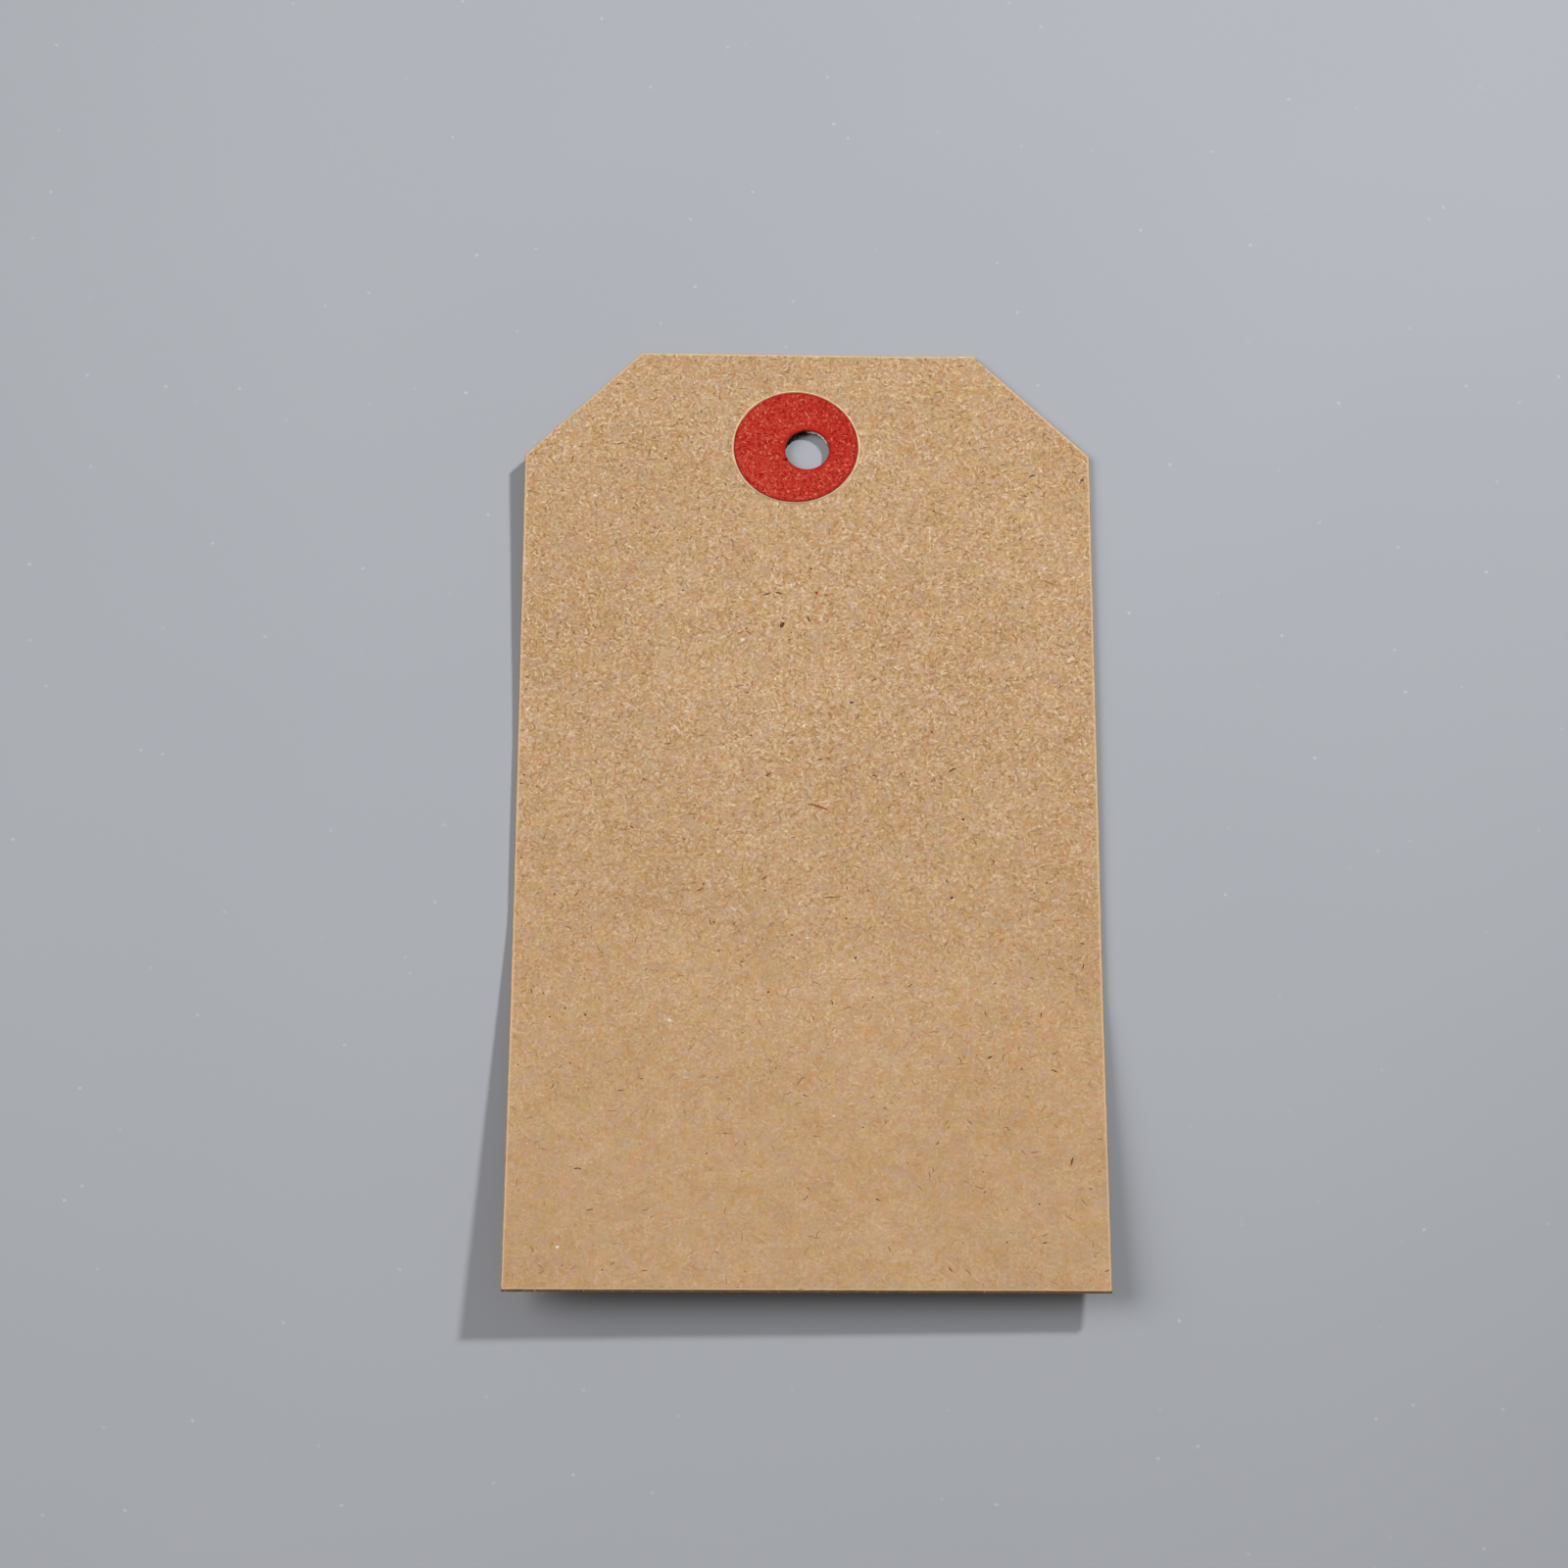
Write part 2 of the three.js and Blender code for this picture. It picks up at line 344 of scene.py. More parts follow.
def cut_board(name, stops, shaded=None):
    """Sheared board: thin strata, much longer than they are thick, with painted shade on its left part if a
    shade colour is given.
    """
    material, tree, place = start_material(name)
    squeeze = (1 / STRATUM_LENGTH, 1 / STRATUM_LENGTH, 1 / STRATUM_THICKNESS)
    squeezed = add_node(tree, "ShaderNodeMapping", {"Vector": place, "Scale": squeeze}).outputs["Vector"]
    layers = {"Vector": squeezed, "Scale": 1.0, "Detail": 3.0}
    strata = add_node(tree, "ShaderNodeTexNoise", layers).outputs[0]
    grain = mottle(tree, place, seed=1, span=0.2)
    tone = sum_of(tree, 0.5, (), noises=[(strata, STRATUM_WEIGHT), (grain, CUT_GRAIN_WEIGHT)])
    colour = toned(tree, tone, stops)
    # Painted shade: the left part of the wall is mixed towards a near-black colour.
    if shaded:
        across, _, _ = add_node(tree, "ShaderNodeSeparateXYZ", {0: place}).outputs
        unshaded_side = {"Value": across, "From Min": PAINTED_SHADE_TO, "From Max": UNSHADED_FROM}
        unshaded = add_node(tree, "ShaderNodeMapRange", unshaded_side).outputs[0]
        mix = {0: unshaded, 6: linear(shaded), 7: colour}
        colour = add_node(tree, "ShaderNodeMix", mix, data_type="RGBA").outputs[2]
    finish_material(tree, colour, tone, relief=0.03, roughness=0.95, **{"Specular IOR Level": 0.2})
    return material


board_edge = cut_board("kraft_board_cut_edge", [(0.2, "82643f"), (0.5, "a5835a"), (0.8, "c9a67c")])
# The punched wall's stops are darker than the cut edge's, partly as painted shade of the deep hole, and its
# left part gets a near-black painted shade.
punched = [(0.2, "3c2b1c"), (0.5, "8a6c49"), (0.8, "c8aa82")]
hole_edge = cut_board("kraft_board_punched_wall", punched, shaded="120c08")
print(board_edge.name, hole_edge.name)

# %% [markdown]
# The patch is thin red paper, dyed in the pulp and gummed on its back. Its fibres took up the dye
# unevenly, so it is speckled with pink and dark red. Round the hole the punch has ironed a narrow ring
# smooth, which shows the plain dye. The rims are darker, where the dyed pulp is pressed together.
# It has faded a little towards the lower left, by the tone per millimetre given here. The pressed ring
# fades out between two distances from the hole's rim, in mm. Like the board the paper is matt.

# %% Red gummed paper
PATCH_FELT = (
    # seed, spacing, width and length in mm: two light layers and two dark ones
    (11, 0.45, 0.17, 0.5),
    (12, 0.7, 0.13, 0.8),
    (13, 0.45, 0.18, 0.5),
    (14, 0.65, 0.15, 0.7),
)
PATCH_FELT_TONES = (0.36, 0.26, -0.34, -0.34)
PATCH_FELT_HEIGHTS = (0.5, 0.5)
PATCH_FADE = 0.006
PATCH_TONE = 0.51
PATCH_GRAIN_WEIGHT = 0.7
PATCH_FLOCK_WEIGHT = 0.25
PRESSED_TO = 0.25
PLAIN_FROM = 0.55
PRESSED_SHARE = 0.7


def red_gummed_paper():
    """Dyed paper: saturated, speckled and matt."""
    material, tree, place = start_material("red_gummed_paper")
    fibres = [fibre_layer(tree, place, *measures) for measures in PATCH_FELT]
    grain = mottle(tree, place, seed=15, span=0.22)
    flock = mottle(tree, place, seed=16, span=1.3)
    noises = [(grain, PATCH_GRAIN_WEIGHT), (flock, PATCH_FLOCK_WEIGHT)]
    rough = sum_of(tree, PATCH_TONE, zip(fibres, PATCH_FELT_TONES), noises)
    toward_foot = {0: place, 1: (-PATCH_FADE, -PATCH_FADE, 0)}
    fade = add_node(tree, "ShaderNodeVectorMath", toward_foot, operation="DOT_PRODUCT").outputs["Value"]
    level = (patch_middle.x + patch_middle.y) / MM * PATCH_FADE
    tone = sum_of(tree, level, [(fade, 1.0), (rough, 1.0)])
    stops = [(0.0, "820a0b"), (0.3, "a21a13"), (0.5, "b73022"), (0.72, "c84e39"), (1.0, "dc8a72")]
    colour = toned(tree, tone, stops)
    from_middle = {0: place, 1: hole / MM}
    distance = add_node(tree, "ShaderNodeVectorMath", from_middle, operation="DISTANCE").outputs["Value"]
    rim = hole_radius / MM
    ring = {"Value": distance, "From Min": rim + PRESSED_TO, "From Max": rim + PLAIN_FROM}
    pressed = {**ring, "To Min": PRESSED_SHARE, "To Max": 0.0}
    smooth = add_node(tree, "ShaderNodeMapRange", pressed, interpolation_type="SMOOTHSTEP").outputs[0]
    mix = {0: smooth, 6: colour, 7: linear("bd2519")}
    colour = add_node(tree, "ShaderNodeMix", mix, data_type="RGBA").outputs[2]
    colour = worn_lip(tree, colour, share=0.75, hex_colour="9a1214")
    felt = sum_of(tree, 0.0, [*zip(fibres, PATCH_FELT_HEIGHTS), (grain, 0.8)])
    finish_material(tree, colour, felt, relief=0.018, roughness=0.8, **{"Specular IOR Level": 0.1})
    return material


def red_cut_edge():
    """The sheared edge of the dyed paper: the same dye, in a denser and darker cut."""
    material, tree, place = start_material("red_gummed_paper_cut_edge")
    grain = mottle(tree, place, seed=17, span=0.12)
    flock = mottle(tree, place, seed=18, span=0.5)
    tone = sum_of(tree, 0.5, (), noises=[(grain, 0.7), (flock, 0.7)])
    colour = toned(tree, tone, [(0.2, "6e0f0e"), (0.55, "a01a16"), (0.9, "bf3a2e")])
    finish_material(tree, colour, tone, relief=0.02, roughness=0.85, **{"Specular IOR Level": 0.25})
    return material


red_face = red_gummed_paper()
red_edge = red_cut_edge()
print(red_face.name, len(red_face.node_tree.nodes), "nodes")

# %% [markdown]
# Dried gum is a glassy brown film. Only its rim shows, as a hairline between patch and board, and it is
# lumpy where it was licked and pressed out.

# %% Dried gum
def dried_gum():
    """Dextrin gum, dried: amber, fairly glossy, lumpy."""
    material, tree, place = start_material("dried_gum")
    lumps = mottle(tree, place, seed=21, span=0.35)
    colour = toned(tree, lumps, [(0.3, "9a6f3a"), (0.5, "c09a5c"), (0.7, "d9c08c")])
    finish_material(tree, colour, lumps, relief=0.02, roughness=0.3, **{"Coat Weight": 0.2})
    return material


gum_film = dried_gum()
print(gum_film.name)

# %% [markdown]
# No sheet of board is dead flat. It cockles by a few hundredths of a millimetre as it dries, and the felt
# leaves lumps of one or two millimetres. Light that comes in low shows both. Each is a noise from -1 to 1
# and counts with its own weight.
# All the layers of the stack have to follow the same cockles, or they would part, so the relief is one
# function of the place on the tag. It only ever lifts a sheet, because the table is right under it.
# The punch also leaves a low, raised ring round the hole.

# %% The relief of the sheet
COCKLE_SPAN = 7 * MM
LUMP_SPAN = 2.2 * MM
RELIEF = 0.045 * MM
COCKLE_WEIGHT = 0.55
LUMP_WEIGHT = 0.35
RING_HEIGHT = 0.035 * MM
RING_WIDTH = 0.28 * MM
RING_GAP = 0.3 * MM
RING_RADIUS = hole_radius + RING_GAP
FIELD_SHIFT = Vector((31.7, 12.9, 4.4))


def relief(place):
    """How far the sheet is lifted at a place, from nothing up to about RELIEF."""
    flat = Vector((place.x, place.y, 0))
    cockle = noise.noise(flat / COCKLE_SPAN)
    lump = noise.noise(flat / LUMP_SPAN + FIELD_SHIFT)
    lifted = RELIEF * min(max(0.5 + COCKLE_WEIGHT * cockle + LUMP_WEIGHT * lump, 0), 1)
    from_ring = (from_hole(place) - RING_RADIUS) / RING_WIDTH
    return lifted + RING_HEIGHT * math.exp(-(from_ring**2))


across, along = (round(reach / MM) for reach in card_reach)
grid = [Vector((x, y, 0)) * MM for x in range(-across, across + 1) for y in range(-along, along + 1)]
samples = [relief(place) / MM for place in grid]
print("relief in mm: mean", round(sum(samples) / len(samples), 4), "highest", round(max(samples), 4))

# %% [markdown]
# The solids of the construction model are loose triangles with knife edges. Each layer of the tag starts
# as a copy of its own solid, so its outline and its bow stay exactly what the model says.
# The copy's triangles are joined, and its flat faces are made whole again. What is thinner than a sliver
# is dissolved, because a sliver would fold over when the border is made. The cut edges then get the small
# round lip that a die leaves, and a narrow border inside the face for the lip's wear to fade over.
# Flat and steep are told by the upright part of a polygon's normal.

# %% Make a layer whole, and round its lips
JOIN_DISTANCE = 0.0005 * MM
THINNEST_SLIVER = 0.01 * MM
WHOLE_FACE_ANGLE = math.radians(0.2)
FLAT_ENOUGH = 0.98
STEEP_ENOUGH = 0.5
WEAR_BORDER = 0.3 * MM


def is_face(face):
    """Whether a polygon belongs to the front or the back of the sheet, and not to a cut."""
    return abs(face.normal.z) > FLAT_ENOUGH


def is_rim(edge):
    """Whether an edge lies between the front or the back of the sheet and a cut."""
    slopes = sorted(abs(face.normal.z) for face in edge.link_faces)
    return len(slopes) == 2 and slopes[0] < STEEP_ENOUGH and slopes[1] > FLAT_ENOUGH


def whole_copy(node):
    """The node's mesh, its triangles joined and its flat faces whole."""
    shape = bmesh.new()
    shape.from_mesh(frame["nodes"][node].data)
    bmesh.ops.remove_doubles(shape, verts=shape.verts, dist=JOIN_DISTANCE)
    bmesh.ops.dissolve_limit(shape, angle_limit=WHOLE_FACE_ANGLE, verts=shape.verts, edges=shape.edges)
    bmesh.ops.dissolve_degenerate(shape, dist=THINNEST_SLIVER, edges=shape.edges)
    return shape


def round_the_lips(shape, lip):
    """Rounds the edges between the faces and the cuts, with a narrow border inside each face."""
    sheet = [face for face in shape.faces if is_face(face)]
    bmesh.ops.inset_region(shape, faces=sheet, thickness=WEAR_BORDER, use_even_offset=False)
    bmesh.ops.dissolve_degenerate(shape, dist=THINNEST_SLIVER, edges=shape.edges)
    rims = [edge for edge in shape.edges if is_rim(edge)]
    bmesh.ops.bevel(shape, geom=rims, offset=lip, segments=2, affect="EDGES", profile=0.5, material=-1)


print("lips get a border of", WEAR_BORDER / MM, "mm")

# %% [markdown]
# A grid of cuts gives the sheet points to lift for the relief, close enough for the smallest lumps.
# Its polygons are sorted into the face, the cut outline and the wall of the hole, each with a material of
# its own. Then the dressed layer becomes an object, which takes the place of the solid it was copied from.
# Edges that turn by more than the smooth angle stay sharp, which keeps the cut edges crisp.

# %% Dress a layer
CELL = 0.8 * MM
SMOOTH_ANGLE = math.radians(35)
FACE, WALL, HOLE_WALL = range(3)


def mark_the_lips(shape):
    """Marks the rounds and the cuts in a layer, which fades to nothing over the border inside the face."""
    worn = shape.verts.layers.float.new("lip")
    for face in shape.faces:
        if face.material_index != FACE:
            for vertex in face.verts:
                vertex[worn] = 1.0


def cut_into_cells(shape):
    """Cuts the sheet along a square grid."""
    for axis in (Vector((1, 0, 0)), Vector((0, 1, 0))):
        reach = [vertex.co.dot(axis) for vertex in shape.verts]
        cuts = int((max(reach) - min(reach)) / CELL)
        for cut in range(1, cuts + 1):
            parts = shape.verts[:] + shape.edges[:] + shape.faces[:]
            spot = axis * (min(reach) + cut * CELL)
            bmesh.ops.bisect_plane(shape, geom=parts, dist=JOIN_DISTANCE, plane_co=spot, plane_no=axis)


def finish_piece(name, shape, materials, slot, *nodes):
    """Makes a piece of the tag from a bmesh, on the tag's one body."""
    mesh = bpy.data.meshes.new(name)
    for material in materials:
        mesh.materials.append(material)
    shape.to_mesh(mesh)
    shape.free()
    mesh.shade_smooth()
    mesh.set_sharp_from_angle(angle=SMOOTH_ANGLE)
    piece = bpy.data.objects.new(name, mesh)
    bpy.context.scene.collection.objects.link(piece)
    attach(piece, "root")
    if nodes:
        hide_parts(*nodes)
    print(name, len(mesh.polygons), "faces")
    return piece


def dress_layer(name, node, materials, slot, lip=None):
    """A layer of the stack with its lips, its cells and its relief."""
    shape = whole_copy(node)
    if lip:
        round_the_lips(shape, lip)
    for face in shape.faces:
        beside_hole = from_hole(face.calc_center_median()) < hole_radius + WEAR_BORDER
        wall = HOLE_WALL if beside_hole else WALL
        face.material_index = FACE if is_face(face) else wall
    cut_into_cells(shape)
    mark_the_lips(shape)
    for vertex in shape.verts:
        vertex.co.z += relief(vertex.co)
    shape.normal_update()
    return finish_piece(name, shape, materials, slot, node)


print("a layer is cut into cells of", CELL / MM, "mm")

# %% [markdown]
# The board, the patch and the film of gum are three separate layers here too, so that the seams between
# them show in the hole and round the patch. The gum is too thin to have a lip.

# %% The three layers
BOARD_LIP = 0.06 * MM
PATCH_LIP = 0.03 * MM
board_materials = [kraft_face, board_edge, hole_edge]
red_materials = [red_face, red_edge, red_edge]
gum_materials = [gum_film] * 3
board = dress_layer("board", "tag_card", board_materials, "kraft_board", BOARD_LIP)
patch = dress_layer("patch_paper", "front_patch", red_materials, "red_paper", PATCH_LIP)
dress_layer("gum_film", "front_patch_gum", gum_materials, "dried_gum")

# %% [markdown]
# The fibres that the felt texture draws are flat. Some of the real ones stand up from the sheet or hang
# over its edges, and they are made here, one by one, as thin round strands. A strand wanders over the
# sheet, partly sunk in it, and dives under at both ends. A ray cast on the dressed layer finds the height
# at each of its points, so it follows the bow and the relief. On the back it never goes into the table.
# All the strands of a kind are drawn as one curve with a round section, and that becomes a mesh.
# The dive is how much deeper the ends go than the middle, in radii. The taper is the share of the radius
# that they lose.

# %% Strands
STRAND_POINTS = 7
CASTING_HEIGHT = 10 * MM
DIVE = 1.2
TAPER = 0.3
UP = Vector((0, 0, 1))


def surface_of(piece):
    """A search tree over a dressed layer."""
    shape = bmesh.new()
    shape.from_mesh(piece.data)
    tree = BVHTree.FromBMesh(shape)
    shape.free()
    return tree


def on_sheet(surface, x, y, side):
    """The place on the sheet's front (side 1) or back (side -1) over x and y, or None past its edge."""
    start = Vector((x, y, 0)) + side * CASTING_HEIGHT * UP
    return surface.ray_cast(start, -side * UP)[0]


def lying_strand(surface, x, y, heading, length, radius, sunk, wander, side=1):
    """A strand that lies in the sheet, as places and radii. It is empty where it would leave the sheet."""
    strand = []
    for point in range(STRAND_POINTS):
        share = 2 * point / (STRAND_POINTS - 1) - 1
        ground = on_sheet(surface, x, y, side)
        if ground is None:
            return []
        depth = radius * (sunk + DIVE * share**4)
        middle = ground - side * depth * UP
        middle.z = max(middle.z, radius)
        strand.append((middle, radius * (1 - TAPER * share * share)))
        heading += random.uniform(-wander, wander)
        x += math.cos(heading) * length / (STRAND_POINTS - 1)
        y += math.sin(heading) * length / (STRAND_POINTS - 1)
    return strand


def strands_to_bmesh(strands):
    """All the strands as one bmesh of round tubes with closed ends."""
    curve = bpy.data.curves.new("strands", "CURVE")
    curve.dimensions = "3D"
    curve.bevel_depth = MM
    curve.bevel_resolution = 0
    curve.use_fill_caps = True
    for strand in strands:
        spline = curve.splines.new("POLY")
        spline.points.add(len(strand) - 1)
        for point, (place, radius) in zip(spline.points, strand):
            point.co = (*place, 1)
            point.radius = radius / MM
    holder = bpy.data.objects.new("strands", curve)
    mesh = bpy.data.meshes.new_from_object(holder)
    shape = bmesh.new()
    shape.from_mesh(mesh)
    bpy.data.objects.remove(holder)
    bpy.data.curves.remove(curve)
    bpy.data.meshes.remove(mesh)
    return shape


board_surface = surface_of(board)
patch_surface = surface_of(patch)
print("sheet height at the middle in mm:", round(on_sheet(board_surface, 0, 0, 1).z / MM, 3))

# %% [markdown]
# Fibres and flecks are paper too, so their material is one plain recipe: a dull colour that changes a
# little from one to the next. The tints are a cream fibre, a brown one, and the red ones of the patch.

# %% Loose fibre materials
def loose_fibre(name, stops):
    """A single fibre or a flake: matt, and a little lighter or darker from place to place."""
    material, tree, place = start_material(name)
    change = mottle(tree, place, seed=41, span=0.9)
    colour = toned(tree, change, stops)
    finish_material(tree, colour, change, relief=0.01, roughness=0.9, **{"Specular IOR Level": 0.2})
    return material


cream_fibre = loose_fibre("cream_fibre", [(0.35, "c8a47c"), (0.65, "dfc19b")])
brown_fibre = loose_fibre("brown_fibre", [(0.35, "936c44"), (0.65, "b48d63")])
pink_fibre = loose_fibre("pink_fibre", [(0.35, "c9463a"), (0.65, "dc7767")])
crimson_fibre = loose_fibre("crimson_fibre", [(0.35, "8c1216"), (0.65, "ab1f1c")])
print("four tints of loose fibre")

# %% [markdown]
# The loose fibres of the faces are scattered from a seed, so every run makes the same ones. Those of the
# back are sunk deeper, because the table has pressed them flat. Lengths and radii are in mm, and like the
# strokes of the felt they are drawn coarser than real ones, so that they show.

# %% Fibres that lie in the faces
random.seed(52090)
PATCH_REACH = (patch_radius, patch_radius)
CARD_MIDDLE = Vector((0, 0))
STRAND_WANDER = 0.5
CARD_FIBRES = {"lengths": (0.4, 1.5), "radii": (0.04, 0.08)}
PATCH_FIBRES = {"lengths": (0.3, 0.9), "radii": (0.04, 0.065), "sunk": 0.45}


def scattered(surface, count, centre, reach, lengths, radii, sunk, side=1):
    """So many strands over a box of the sheet, each with its own heading, length and radius."""
    strands = []
    while len(strands) < count:
        strand = lying_strand(
            surface,
            centre.x + random.uniform(-reach[0], reach[0]),
            centre.y + random.uniform(-reach[1], reach[1]),
            random.uniform(0, 2 * math.pi),
            random.uniform(*lengths) * MM,
            random.uniform(*radii) * MM,
            sunk,
            STRAND_WANDER,
            side,
        )
        if strand:
            strands.append(strand)
    return strands


def card_fibres(count, sunk, side=1):
    """Fibres all over one face of the card."""
    return scattered(board_surface, count, CARD_MIDDLE, card_reach, sunk=sunk, side=side, **CARD_FIBRES)


def patch_fibres(count):
    """Fibres all over the patch."""
    return scattered(patch_surface, count, patch_middle, PATCH_REACH, **PATCH_FIBRES)


cream = card_fibres(count=900, sunk=0.45) + card_fibres(count=500, sunk=0.6, side=-1)
finish_piece("cream_fibres", strands_to_bmesh(cream), [cream_fibre], "kraft_board")
brown = card_fibres(count=500, sunk=0.5) + card_fibres(count=300, sunk=0.6, side=-1)
finish_piece("brown_fibres", strands_to_bmesh(brown), [brown_fibre], "kraft_board")
pink = patch_fibres(count=110)
finish_piece("pink_fibres", strands_to_bmesh(pink), [pink_fibre], "red_paper")
crimson = patch_fibres(count=60)
finish_piece("crimson_fibres", strands_to_bmesh(crimson), [crimson_fibre], "red_paper")

# %% [markdown]
# Dark flecks of bark, bleached white crumbs and a few dyed red ones came along in the waste pulp.
# The largest of them are placed one by one, where the photo shows them. The many small ones are scattered.
# A crumb is a squashed ball of few faces with an uneven outline, sunk in the sheet.
# How flat, how sunk and how uneven a crumb is are shares of its half width, its half height and its
# radius. The floor is how many half heights its middle stays over the table. The slimness is how much
# narrower than long a small one may be.

# %% Flecks and crumbs
BARK, WHITE, RED = range(3)
PLACED_CRUMBS = (
    # kind, across and along in mm, half length and half width in mm, turn in degrees
    (BARK, -2.18, 17.79, 0.36, 0.19, 65),
    (BARK, 24.32, 32.19, 0.20, 0.14, 20),
    (BARK, -12.52, 34.31, 0.15, 0.11, 0),
    (BARK, 13.40, -1.08, 0.14, 0.12, 0),
    (BARK, 12.35, -8.46, 0.15, 0.13, 50),
    (BARK, 4.14, -14.05, 0.14, 0.12, 80),
    (BARK, -8.80, -7.10, 0.12, 0.10, 20),
    (BARK, 3.90, 10.20, 0.22, 0.11, 5),
    (BARK, 4.46, 8.80, 0.10, 0.08, 0),
    (BARK, -7.90, -10.70, 0.14, 0.08, 120),
    (BARK, -1.26, -11.90, 0.12, 0.09, 0),
    (WHITE, -5.59, 16.35, 0.21, 0.18, 10),
    (WHITE, -2.76, 12.50, 0.14, 0.11, 60),
    (WHITE, -0.29, 7.92, 0.15, 0.12, 100),
    (WHITE, 0.04, -12.20, 0.16, 0.11, 0),
    (WHITE, 13.86, 5.54, 0.12, 0.10, 0),
    (WHITE, 2.28, -29.00, 0.14, 0.12, 0),
    (WHITE, -18.70, 30.51, 0.16, 0.13, 30),
    (WHITE, -20.46, -41.11, 0.18, 0.13, 20),
    (WHITE, -11.55, -20.02, 0.17, 0.12, 150),
    (RED, 0.82, 20.98, 0.20, 0.15, 70),
)
CRUMB_FLATNESS = 0.3
CRUMB_SUNK = 0.3
CRUMB_FLOOR = 1.35
CRUMB_UNEVENNESS = 0.35
CRUMB_LUMPINESS = 1.7
CRUMB_SLIMNESS = (0.5, 0.9)


def add_crumb(shape, surface, x, y, half_length, half_width, turn, side=1):
    """Adds one crumb to a bmesh, sunk into the sheet. It is left out where there is no sheet."""
    ground = on_sheet(surface, x, y, side)
    if ground is None:
        return
    half_height = CRUMB_FLATNESS * half_width
    size = Matrix.Diagonal((half_length, half_width, half_height, 1))
    sunk = ground - side * CRUMB_SUNK * half_height * UP
    sunk.z = max(sunk.z, CRUMB_FLOOR * half_height)
    placed = Matrix.Translation(sunk) @ Matrix.Rotation(turn, 4, "Z") @ size
    made = bmesh.ops.create_icosphere(shape, subdivisions=2, radius=1)
    for vertex in made["verts"]:
        spot = vertex.co * CRUMB_LUMPINESS + Vector((x, y, 0)) / MM
        uneven = 1 + CRUMB_UNEVENNESS * noise.noise(spot)
        vertex.co = placed @ (vertex.co * uneven)


def crumbs(kind, count, sizes):
    """The placed crumbs of a kind, and so many small ones on each face."""
    shape = bmesh.new()
    for placed_kind, *measures, turn in PLACED_CRUMBS:
        if placed_kind == kind:
            x, y, half_length, half_width = (measure * MM for measure in measures)
            add_crumb(shape, board_surface, x, y, half_length, half_width, math.radians(turn))
    for side in (1, -1):
        for _ in range(count):
            x, y = (random.uniform(-reach, reach) for reach in card_reach)
            half_length = random.uniform(*sizes) * MM
            half_width = half_length * random.uniform(*CRUMB_SLIMNESS)
            add_crumb(shape, board_surface, x, y, half_length, half_width, random.uniform(0, math.pi), side)
    return shape


bark_fleck = loose_fibre("bark_fleck", [(0.35, "4a2f17"), (0.65, "73502e")])
bleached_crumb = loose_fibre("bleached_crumb", [(0.35, "dcc8ae"), (0.65, "ece0d2")])
dyed_crumb = loose_fibre("dyed_crumb", [(0.35, "a83028"), (0.65, "bc4438")])
finish_piece("bark_flecks", crumbs(BARK, 130, sizes=(0.05, 0.11)), [bark_fleck], "kraft_board")
finish_piece("bleached_crumbs", crumbs(WHITE, 50, sizes=(0.05, 0.10)), [bleached_crumb], "kraft_board")
finish_piece("dyed_crumbs", crumbs(RED, 5, sizes=(0.05, 0.08)), [dyed_crumb], "kraft_board")

# %% [markdown]
# Slivers of uncooked wood came along too. A sliver is a strand, thicker than a fibre and nearly straight:
# dark, rust-brown where it is resinous, or bleached. The placed ones wander less than the small ones, in
# radians at each of their points.

# %% Slivers
DARK, RUST, PALE = range(3)
PLACED_SLIVERS = (
    # kind, across and along in mm, length and half width in mm, heading in degrees
    (DARK, 0.00, 18.75, 0.75, 0.12, -72),
    (DARK, -3.95, 20.70, 0.90, 0.11, 12),
    (DARK, -2.85, 21.05, 0.75, 0.10, -8),
    (DARK, -3.67, 3.10, 0.78, 0.10, 20),
    (DARK, 12.11, 3.42, 0.94, 0.11, 32),
    (DARK, -3.87, -6.81, 0.75, 0.08, 45),
    (DARK, 21.92, -33.60, 0.95, 0.10, 85),
    (DARK, 15.10, -23.60, 0.60, 0.10, 30),
    (DARK, 19.60, 32.50, 0.70, 0.10, 25),
    (RUST, -0.07, 0.51, 2.26, 0.11, -10),
    (RUST, 0.90, 4.65, 0.50, 0.11, 15),
    (RUST, 1.60, 4.85, 0.50, 0.11, -15),
    (RUST, 1.20, -8.40, 2.10, 0.07, 0),
    (RUST, -9.50, -7.80, 0.90, 0.09, 15),
    (RUST, -6.10, 16.90, 0.75, 0.08, 35),
    (RUST, -5.40, 17.30, 0.80, 0.08, -40),
    (RUST, -16.90, 35.70, 0.70, 0.10, 20),
    (PALE, -6.57, -9.28, 0.75, 0.10, -40),
)
PLACED_SLIVER_SUNK = 0.2
PLACED_SLIVER_WANDER = 0.15
SMALL_SLIVERS = {"lengths": (0.3, 0.9), "radii": (0.05, 0.08), "sunk": 0.25}


def slivers(kind, count):
    """The placed slivers of a kind, and so many over each face of the card."""
    strands = []
    for placed_kind, *measures, heading in PLACED_SLIVERS:
        if placed_kind == kind:
            x, y, length, radius = (measure * MM for measure in measures)
            lying = (PLACED_SLIVER_SUNK, PLACED_SLIVER_WANDER)
            strands.append(lying_strand(board_surface, x, y, math.radians(heading), length, radius, *lying))
    for side in (1, -1):
        strands += scattered(board_surface, count, CARD_MIDDLE, card_reach, side=side, **SMALL_SLIVERS)
    return strands_to_bmesh(strands)


dark_sliver = loose_fibre("dark_sliver", [(0.35, "68482a"), (0.65, "8a653e")])
rust_sliver = loose_fibre("rust_sliver", [(0.35, "95602c"), (0.65, "b98350")])
finish_piece("dark_slivers", slivers(DARK, count=50), [dark_sliver], "kraft_board")
finish_piece("rust_slivers", slivers(RUST, count=60), [rust_sliver], "kraft_board")
finish_piece("pale_slivers", slivers(PALE, count=40), [bleached_crumb], "kraft_board")

